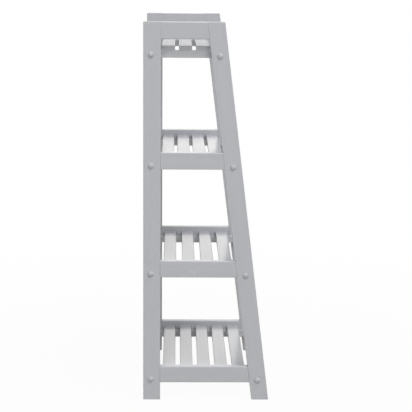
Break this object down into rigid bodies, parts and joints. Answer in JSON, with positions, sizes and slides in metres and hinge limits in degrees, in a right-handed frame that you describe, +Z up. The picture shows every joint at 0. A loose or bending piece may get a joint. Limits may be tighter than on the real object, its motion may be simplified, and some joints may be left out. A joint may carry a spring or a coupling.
{
  "type": "slatted shelving unit",
  "caption": "Free-standing painted wooden shelving unit: two end frames with an upright back post and a raked front post carry slatted shelves that get deeper towards the floor.",
  "frame": {"origin": "on the floor, in the middle of the footprint", "axes": "+X along the shelves to the right of someone facing the unit, front towards -Y, +Z up"},
  "size_m": [0.5092, 0.3498, 1.05],
  "materials": {
    "grey_painted_wood": "satin light grey paint on planed softwood, faint grain under the paint",
    "grey_plastic": "moulded light grey screw covers, slightly glossier than the paint",
    "zinc_steel": "zinc-plated wood screws",
    "bright_steel": "bright steel brad nails"
  },
  "bodies": {
    "root": {"bottom_shelf_brads": "bright_steel", "bottom_shelf_left_cleat": "grey_painted_wood", "bottom_shelf_right_cleat": "grey_painted_wood", "bottom_shelf_slat_1": "grey_painted_wood", "bottom_shelf_slat_2": "grey_painted_wood", "bottom_shelf_slat_3": "grey_painted_wood", "bottom_shelf_slat_4": "grey_painted_wood", "bottom_shelf_slat_5": "grey_painted_wood", "left_back_post": "grey_painted_wood", "left_bottom_rail": "grey_painted_wood", "left_front_post": "grey_painted_wood", "left_screw_covers": "grey_plastic", "left_second_rail": "grey_painted_wood", "left_shelf_screws": "zinc_steel", "left_third_rail": "grey_painted_wood", "left_top_rail": "grey_painted_wood", "right_back_post": "grey_painted_wood", "right_bottom_rail": "grey_painted_wood", "right_front_post": "grey_painted_wood", "right_screw_covers": "grey_plastic", "right_second_rail": "grey_painted_wood", "right_shelf_screws": "zinc_steel", "right_third_rail": "grey_painted_wood", "right_top_rail": "grey_painted_wood", "second_shelf_brads": "bright_steel", "second_shelf_left_cleat": "grey_painted_wood", "second_shelf_right_cleat": "grey_painted_wood", "second_shelf_slat_1": "grey_painted_wood", "second_shelf_slat_2": "grey_painted_wood", "second_shelf_slat_3": "grey_painted_wood", "second_shelf_slat_4": "grey_painted_wood", "third_shelf_brads": "bright_steel", "third_shelf_left_cleat": "grey_painted_wood", "third_shelf_right_cleat": "grey_painted_wood", "third_shelf_slat_1": "grey_painted_wood", "third_shelf_slat_2": "grey_painted_wood", "third_shelf_slat_3": "grey_painted_wood", "third_shelf_slat_4": "grey_painted_wood", "top_shelf_brads": "bright_steel", "top_shelf_left_cleat": "grey_painted_wood", "top_shelf_right_cleat": "grey_painted_wood", "top_shelf_slat_1": "grey_painted_wood", "top_shelf_slat_2": "grey_painted_wood", "top_shelf_slat_3": "grey_painted_wood"}
  },
  "joints": []
}
